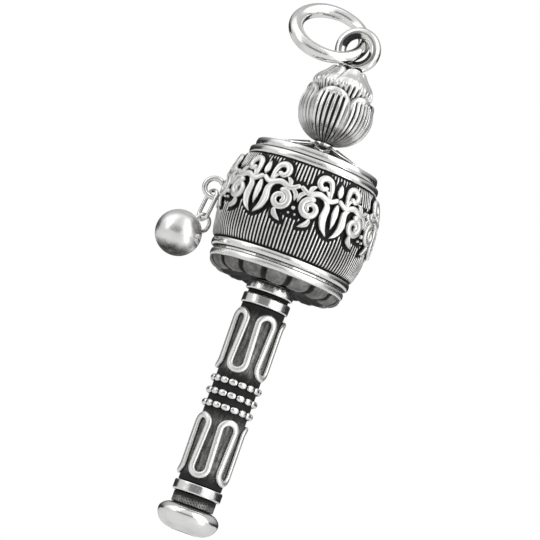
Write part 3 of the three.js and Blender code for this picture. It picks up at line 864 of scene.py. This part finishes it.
def flourish(number):
    """Strokes as (points, half-widths, crease), s along the wall and t up it, in millimetres:
    stem and its two leaves, volute, two lower leaves, beads and curl. An even number also has
    the bud and the leaf of its palmette."""
    curl = np.concatenate([[(1.10, 1.30), (1.08, 2.05)],
                           volute(0.22, 2.62, 0.84, -0.20, 6.2, 0.62, 8)])
    strokes = [
        ([(-2.06, 1.72), (-1.10, 1.22), (0.0, 1.52), (1.10, 1.22), (2.06, 1.72)],
         [0.24, 0.28, 0.32, 0.28, 0.24], 0.0),
        leaf([(-1.05, 1.25), (-0.92, 1.80), (-0.42, 2.20)], 0.26),
        leaf([(1.05, 1.25), (0.92, 1.80), (0.42, 2.20)], 0.26),
        (volute(-0.50, -0.16, 1.02, 1.20, 9.6, 0.80, 14), [0.28, 0.33, 0.33, 0.30, 0.22, 0.20], 0.0),
        leaf([(-0.25, -1.05), (-0.42, -1.70), (-1.15, -2.25)], 0.30),
        leaf([(-1.25, 1.20), (-1.78, 0.80), (-1.88, 0.05)], 0.26),
        bead_stroke(-2.04, -0.62, 0.21),
        bead_stroke(-1.72, -1.20, 0.13),
        (curl, [0.16, 0.24, 0.31, 0.35, 0.32, 0.26, 0.26], 0.0),
    ]
    if number != EYELET_MOTIF:
        long_leaf = [(0.42, 1.30), (1.02, 0.62), (0.98, -0.55), (1.25, -1.45), (1.85, -2.20)]
        strokes.append(leaf(long_leaf, 0.42))
    if number % 2 == 0:
        strokes.append(leaf([(2.04, 1.30), (2.04, 0.60), (2.04, -0.30), (2.04, -1.35)], 0.36))
        strokes.append(leaf([(2.04, 1.85), (2.04, 2.25), (2.04, 2.75), (2.04, 3.35)], 0.34))
    return strokes


def side_of(number):
    """1 for a flourish as drawn, -1 for its mirror image."""
    return 1 if number % 2 == 0 else -1


print("strokes in a flourish:", [len(flourish(number)) for number in range(MOTIFS)])

# %% [markdown]
# ## The drum's wall
# The wall is a barrel cut with close upright ribs, and a dark smooth ground is left round each
# flourish. It is one grid: radius by height is the barrel's curve, a raised cosine round it
# makes the ribs, and the distance to the nearest stroke decides where they fade into the
# ground. The pattern repeats six times, so the distances are worked out for a sixth of the
# wall and laid side by side, with one sixth of its own for the eyelet.

# %% The wall
WALL_LOW, WALL_HIGH = 14.6, 23.65
RIBS = 126
RIB_DEPTH = 0.20
COLUMNS_PER_RIB = 10
WALL_THICK = 0.7
GROUND_NEAR, GROUND_FAR = 0.20, 0.42
barrel = curve_through([(7.3, WALL_LOW), (7.6, 15.6), (7.8, 17.0), (7.85, 18.7), (7.72, 20.4),
                        (7.42, 22.0), (6.95, WALL_HIGH)], 200)


def skin_radius(z):
    """The radius of the rib tops at a height."""
    return np.interp(z, barrel[:, 1], barrel[:, 0])


def distance_to_strokes(s, t, strokes, mirror):
    """How far each place on the flat wall is from the edge of the nearest stroke."""
    nearest = np.full(np.broadcast(s, t).shape, 9.0)
    for points, widths, _ in strokes:
        path = curve_through(points, 40)
        size = np.interp(np.linspace(0, 1, 40), np.linspace(0, 1, len(widths)), widths)
        gap_s = s[..., None] - mirror * path[:, 0]
        gap_t = t[..., None] - path[:, 1]
        nearest = np.minimum(nearest, (np.hypot(gap_s, gap_t) - size).min(-1))
    return nearest


def drum_wall():
    """Outer face: skin radius less the rib depth where the cosine is low. The ground round the
    flourishes lies at the foot of the ribs. The inner face is plain."""
    columns = RIBS * COLUMNS_PER_RIB
    sixth = columns // 6
    z = np.linspace(WALL_LOW, WALL_HIGH, 60)
    turn = 2 * np.pi * np.arange(sixth) / columns - np.pi / MOTIFS
    s = turn[None, :] * SKIN_R
    t = z[:, None] - MOTIF_Z
    pitch = 2 * np.pi * SKIN_R / MOTIFS
    sixths = []
    for first in (0, EYELET_MOTIF - 1):
        gaps = [distance_to_strokes(s - (number - first) * pitch, t + 0 * s, flourish(number),
                                    side_of(number)) for number in range(first - 1, first + 3)]
        sixths.append(1 - step(np.minimum.reduce(gaps), GROUND_NEAR, GROUND_FAR))
    ground = np.concatenate([sixths[int(first == EYELET_MOTIF - 1)]
                             for first in range(0, MOTIFS, 2)], 1)
    angle = FIRST_MOTIF - np.pi / MOTIFS + 2 * np.pi * np.arange(columns) / columns
    wave = 0.5 + 0.5 * np.cos(RIBS * angle)[None, :]
    ridge = step(wave, 0.26, 0.80) * (1 - ground)
    ends = step(z, WALL_LOW, WALL_LOW + 0.22) * (1 - step(z, WALL_HIGH - 0.22, WALL_HIGH))
    ridge = ridge * ends[:, None]
    waver = 0.015 * np.sin(7 * angle + 2 * z[:, None]) + 0.01 * np.sin(31 * angle - 3 * z[:, None])
    cleaned = step(wave, 0.50, 0.92) * (1 - ground) * ends[:, None]
    radius = skin_radius(z)[:, None] - RIB_DEPTH * (1 - ridge) + waver * ridge
    height = z[:, None] + 0 * angle
    inner_z = np.linspace(WALL_HIGH, WALL_LOW, 5)[:, None] + 0 * angle
    inner_r = skin_radius(inner_z) - WALL_THICK
    radius = np.concatenate([radius, inner_r])
    height = np.concatenate([height, inner_z])
    points = about_axis(radius, angle, height)
    soot_and_painted_shade = np.concatenate([1 - cleaned, np.ones_like(inner_r)])
    return shell(points, soot_and_painted_shade, loop=True)


make_piece("drum_wall", [drum_wall()], blackened, "drum")

# %% [markdown]
# Now the flourishes themselves. A stroke is a flattened, domed section carried along its
# curve on the barrel, rounded off at both ends. Its lower edge is sunk into the wall, so it
# looks cast with it, and the soot lies only along that edge.

# %% Twelve flourishes
RELIEF_LIFT = 0.10
RELIEF_HALF = 0.30


def raised_stroke(turn, mirror, points, widths, crease):
    """The flat stroke becomes a path on the wall: s is length round it, t height. The width at
    both ends is drawn in as a quarter circle."""
    count = 12 + 7 * len(points)
    flat = curve_through(points, count)
    share = np.linspace(0, 1, count)
    width = np.interp(share, np.linspace(0, 1, len(widths)), widths)
    length = np.linalg.norm(np.diff(flat, axis=0), axis=1).sum()
    near_end = np.minimum(share, 1 - share) * length / np.maximum(width.max() * 0.9, 0.05)
    cap = np.sqrt(1 - (1 - np.clip(near_end, 0, 1))**2)
    angle = turn + mirror * flat[:, 0] / SKIN_R
    z = MOTIF_Z + flat[:, 1]
    r = skin_radius(z) + RELIEF_LIFT
    slope = np.gradient(barrel[:, 0], barrel[:, 1])
    lean = -np.interp(z, barrel[:, 1], slope)
    path = about_axis(r, angle, z)
    out = unit(about_axis(1, angle, lean))
    around = circle(18)
    base = step(-np.cos(around), -0.30, 0.25)[None, :]
    height = RELIEF_HALF * cap * np.minimum(1, 0.45 + width / 0.34)
    veined = np.maximum(base, 0.9 * crease * np.exp(-(np.sin(around) / 0.25)**2)[None, :])
    return tube(path, out, height, width * cap, 18, 2.7, veined, False, crease)


for number in range(MOTIFS):
    turn = FIRST_MOTIF + 2 * np.pi * number / MOTIFS
    shells = [raised_stroke(turn, side_of(number), *stroke) for stroke in flourish(number)]
    make_piece(f"sprig_{number + 1:02d}", shells, rubbed, "drum")

# %% [markdown]
# ## Rims, lid and lotus foot
# The wall is held between bright turned rims. The lid is a low cone with a star of raised
# wire on it and dark triangles between the star's rays. The foot is a dark saucer of sixteen
# plump petals.

# %% Rims
RIM_COLUMNS, RIM_DENTS = 240, 0.006
RIM_BULGE = 0.10
HUB_HOLE_R = 1.05


def swelling_rim(inner, outer, low, high, soft):
    """A ring whose outer face is a shallow arc: it bulges most at half its height."""
    side = outer - RIM_BULGE
    outline = [(inner, low), (side, low), (outer, (low + high) / 2), (side, high), (inner, high)]
    outline = all_round(eased(outline, soft), 0.09)
    inside = 1 - step(outline[:, :1], outer - 0.35, outer - 0.12)
    return shell(turned(outline, RIM_COLUMNS, RIM_DENTS, phase=high), inside, loop=True)


base_bead = swelling_rim(HUB_HOLE_R, 7.05, 12.70, 13.50, 0.30)
make_piece("base_bead", [base_bead], brushed, "drum")
make_piece("bottom_rim", [swelling_rim(6.0, 7.3, 13.75, 14.55, 0.2)], polished, "drum")
make_piece("top_rim", [swelling_rim(6.05, 6.85, 23.70, 24.50, 0.2)], polished, "drum")
make_piece("lid_rim", [swelling_rim(6.05, 6.45, 24.55, 25.40, 0.14)], polished, "drum")

# %% The lid and its star
STAR_POINTS = 8
LID_TOP = 26.85
LID_SUNK = 0.16
UNDERSIDE_TOP, UNDERSIDE_SLOPE = 26.1, 0.3506


def star_radius(turns):
    """The zigzag's distance from the axis, for a share of a whole turn: it falls and rises
    evenly once for each of the star's points."""
    return 1.6 + 3.3 * np.abs((turns * STAR_POINTS) % 1 - 0.5) * 2


def lid():
    """A cone, pressed in between the rays: the zigzag of the star is a distance from the
    axis that rises and falls eight times round, and away from it the metal sinks."""
    outline = all_round([(HUB_HOLE_R, UNDERSIDE_TOP), (4.9, 24.75), (6.0, 24.6), (6.0, 25.25),
                         (5.2, 25.45), (HUB_HOLE_R, LID_TOP)], 0.09)
    columns = 480
    points = turned(outline, columns, 0.004)
    r, z = outline[:, :1], outline[:, 1:]
    ray = star_radius(circle(columns)[None, :] / (2 * np.pi))
    underside = UNDERSIDE_TOP - (r - HUB_HOLE_R) * UNDERSIDE_SLOPE
    face = step(z - underside, 0.35, 0.6)
    sunk = step(np.abs(r - ray) * 0.45, 0.10, 0.24) * face
    sunk = sunk * step(r, 1.35, 1.6) * (1 - step(r, 5.0, 5.25))
    points[..., 2] -= LID_SUNK * sunk
    return shell(points, np.maximum(sunk, 1 - face), loop=True)


def lid_star():
    """A ridge that follows the zigzag, standing just above the cone."""
    u = np.linspace(0, 1, 480, endpoint=False)
    r = star_radius(u)
    z = LID_TOP - (r - HUB_HOLE_R) * (LID_TOP - 25.45) / (5.2 - HUB_HOLE_R) + 0.10
    path = about_axis(r, 2 * np.pi * u, z)
    up = np.tile([0.0, 0.0, 1.0], (len(u), 1))
    return tube(path, up, 0.13, 0.17, 12, 2.4, step(-np.cos(circle(12)), 0, 0.6)[None, :])


make_piece("lid", [lid()], blackened, "drum")
make_piece("lid_star", [lid_star()], polished, "drum")

# %% The lotus foot
FOOT_PETALS = 16


def lotus_base():
    """The saucer's outline turned round, with sixteen plump petals. On each petal u runs from
    -1 to 1, its fullness is the root of 1 - u^2, and a sharp groove lies between two of them.
    A raised vein runs down the middle of each, and a thin lip along its lower edge."""
    side = curve_through([(2.6, 12.1), (4.2, 11.85), (5.3, 11.66), (6.2, 11.82), (6.78, 12.3),
                          (6.9, 12.86)], 64)
    outline = np.concatenate([[(HUB_HOLE_R, 12.1)], side, [(6.7, 12.9), (HUB_HOLE_R, 12.9)]])
    outline = all_round(outline, 0.14)
    angle = circle(FOOT_PETALS * 36)[None, :]
    r, z = outline[:, :1] + 0 * angle, outline[:, 1:] + 0 * angle
    u = 2 * ((angle * FOOT_PETALS / (2 * np.pi) + 0.5) % 1) - 1 + 0 * r
    below = (z < 12.88) * step(r, 2.7, 3.8)
    full = np.sqrt(np.clip(1 - np.abs(u)**2.2, 0, 1))
    vein = np.exp(-(u / 0.10)**2) * step(r, 4.2, 5.0) * (1 - step(z, 12.2, 12.6))
    lip = np.exp(-((r - 5.35) / 0.16)**2) * (z < 12.1)
    inward = 0.34 * (1 - full) * below * (1 - step(z, 12.45, 12.85))
    r = r - inward * step(z, 11.6, 12.4) - 0.16 * (1 - full) * step(r, 4.6, 5.4) * (z < 12.6)
    z = z + inward * (1 - step(z, 11.6, 12.4)) - 0.05 * (vein + lip) * (z < 12.3) * full
    z = np.maximum(z, 11.65)
    points = about_axis(r, angle, z)
    groove = 1 - step(full, 0.35, 0.75)
    soot_and_painted_shade = np.where(z < 12.88, 0.60 + 0.35 * groove - 0.10 * lip, 0.9)
    soot_and_painted_shade = np.maximum(soot_and_painted_shade, 0.9 * (1 - step(r, 4.9, 6.4)))
    return shell(points, soot_and_painted_shade, loop=True)


make_piece("lotus_base", [lotus_base()], blackened, "drum")

# %% [markdown]
# ## Eyelet, chain and weight
# A weight on a short chain keeps a real prayer wheel turning once it is started. A round eyelet is
# soldered to the drum's side. An oval link, a small ring and the weight's own eye hang from it. The
# weight is a hollow ball of two halves. It has a satin finish, and painted shade darkens its
# underside.

# %% Eyelet and chain
CHAIN_TILT, LINK_TURN = math.radians(6), math.radians(37)
chain_down = np.array([-math.sin(CHAIN_TILT), 0, -math.cos(CHAIN_TILT)])
chain_right = np.array([math.cos(CHAIN_TILT), 0, -math.sin(CHAIN_TILT)])
link_across = chain_right * math.sin(LINK_TURN) - np.array([0, 1, 0]) * math.cos(LINK_TURN)
link_square = np.cross(link_across, chain_down)
LINK_LENGTH = 3.25
LINK_WIDTH = 0.76
WIRE = 0.2
link_top = np.array([-8.66, 0, 18.93])
link_end = link_top + chain_down * LINK_LENGTH


def side_eyelet():
    """Heavy wire bent into most of a circle, its two ends sunk in the wall."""
    centre = np.array([-8.8, 0, 19.15])
    opening = math.radians(33)
    points, links, corners, _ = hoop(centre, [1, 0, 0], [0, 0, 1], 0.96, 0.28, 90, 24, opening)
    near_wall = step(points[:, 0], -8.35, -7.95)
    return points, links, corners, near_wall


def chain_link():
    """A circle pulled out lengthwise: each half is moved along the link by the same amount."""
    t = circle(160)
    stretch = LINK_LENGTH / 2 - LINK_WIDTH
    middle = link_top + chain_down * LINK_LENGTH / 2
    out = np.cos(t)[:, None] * link_across - np.sin(t)[:, None] * chain_down
    pulled = np.tanh(6 * np.sin(t))[:, None] * stretch
    path = middle + LINK_WIDTH * out - pulled * chain_down
    inside = step(np.abs(np.sin(t)), 0.80, 0.98)[:, None]
    return tube(path, out, WIRE, WIRE, 16, recess_and_painted_shade=inside * step(-np.cos(circle(16)), 0, 0.8))


make_piece("side_eyelet", [side_eyelet()], polished, "drum")
make_piece("chain_link", [chain_link()], polished, "chain_link")

# %% The small ring and the weight
HANG, REACH, SPREAD = math.radians(53), math.radians(-51), math.radians(18)
SMALL_RING_R = 0.88
BALL_R = 2.35
ring_centre = link_end + 0.42 * (chain_down * math.cos(HANG) + link_square * math.sin(HANG))
reach = chain_down * math.cos(REACH) + link_square * math.sin(REACH)
along_wire = link_square * math.cos(REACH) - chain_down * math.sin(REACH)
pivot = ring_centre + reach * SMALL_RING_R
to_ball = reach * math.cos(SPREAD) + link_across * math.sin(SPREAD)
ball_centre = pivot + to_ball * (BALL_R + WIRE + 0.08)


def weight_ball():
    """A sphere about the line from its eye, with the faint ledge where its two halves meet and slow
    dents. Latitude runs from the eye to the far pole. Painted shade darkens its downward-facing half."""
    latitude = np.linspace(-np.pi / 2, np.pi / 2, 150)[:, None]
    longitude = circle(240)[None, :]
    seam = np.exp(-(latitude / 0.012)**2)
    dents = np.sin(3 * longitude + 4 * latitude) + np.sin(4 * longitude - 3 * latitude + 1)
    r = BALL_R - 0.006 - 0.012 * seam + 0.003 * dents * np.cos(latitude)
    axis = unit(to_ball)
    first = unit(np.cross([0, 0, 1.0], axis))
    second = np.cross(axis, first)
    flat = np.cos(longitude)[..., None] * first + np.sin(longitude)[..., None] * second
    outward = np.cos(latitude)[..., None] * flat + np.sin(latitude)[..., None] * axis
    soot_and_painted_shade = 0.4 * seam + step(-latitude, 1.42, 1.52)
    # Painted shade: the half facing down is darkened, up to 0.66, the more steeply it faces down.
    under = step(-outward[..., 2], 0.0, 0.85)
    return shell(ball_centre + r[..., None] * outward, np.maximum(soot_and_painted_shade, 0.66 * under))


ball_side = np.cross(along_wire, to_ball)
ball_eye_centre = pivot + 0.08 * to_ball
chain_ring = hoop(ring_centre, chain_down, link_square, SMALL_RING_R, WIRE, 120, 16)
ball_eye = hoop(ball_eye_centre, to_ball, ball_side, 0.5, 0.16, 60, 14, opening=0.5)
make_piece("chain_ring", [chain_ring], polished, "chain_ring")
make_piece("weight_ball", [weight_ball()], brushed, "weight")
make_piece("ball_eye", [ball_eye], polished, "weight")

# %% [markdown]
# ## The parts that stay as they are
# The spindle, the bushes, the washers, the tube and the paper scroll are plain turned shapes
# that are right already. They keep their own mesh and only receive a finish.

# %% Finishes for the inner parts
inner_finishes = {
    "spindle_rod": brushed, "core_tube": brushed, "bottom_plate": blackened,
    "thrust_washer": brushed, "bud_washer": brushed, "lower_bush": brass, "upper_bush": brass,
    "paper_scroll": paper, "scroll_tie": thread,
}
for name, material in inner_finishes.items():
    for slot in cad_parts[name].material_slots:
        slot.material = material
print("finished in place:", ", ".join(inner_finishes))

# %% [markdown]
# ## The floor
# A pale matt table well below the pendant catches soft light from the boxes and sends a
# little of it back up. It is a stage, not a part of the object.

# %% The table
def table():
    """A flat square with a faint grain in its finish."""
    half, height = 1.5, -0.12
    mesh = bpy.data.meshes.new("table")
    corners = [(-half, -half, height), (half, -half, height), (half, half, height),
               (-half, half, height)]
    mesh.from_pydata(corners, [], [(0, 1, 2, 3)])
    material, mix = new_recipe("pale_table")
    shade = mix.blend(mix.noise(12, 3), (0.80, 0.80, 0.79, 1), (0.84, 0.84, 0.83, 1))
    mix.finish({"Base Color": shade, "Roughness": 0.8})
    mesh.materials.append(material)
    piece = bpy.data.objects.new("table", mesh)
    bpy.context.scene.collection.objects.link(piece)
    piece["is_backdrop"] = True


table()

# %% [markdown]
# The finished pieces are meant to fill the same box as the working model. Both boxes are printed as
# sizes in millimetres.

# %% Sizes
finished_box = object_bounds()
sizes = {"cad": [list(corner) for corner in working_box],
         "visual": [list(corner) for corner in finished_box]}
for name, (low, high) in sizes.items():
    print(name, [round((h - l) * 1000, 2) for l, h in zip(low, high)], "mm")
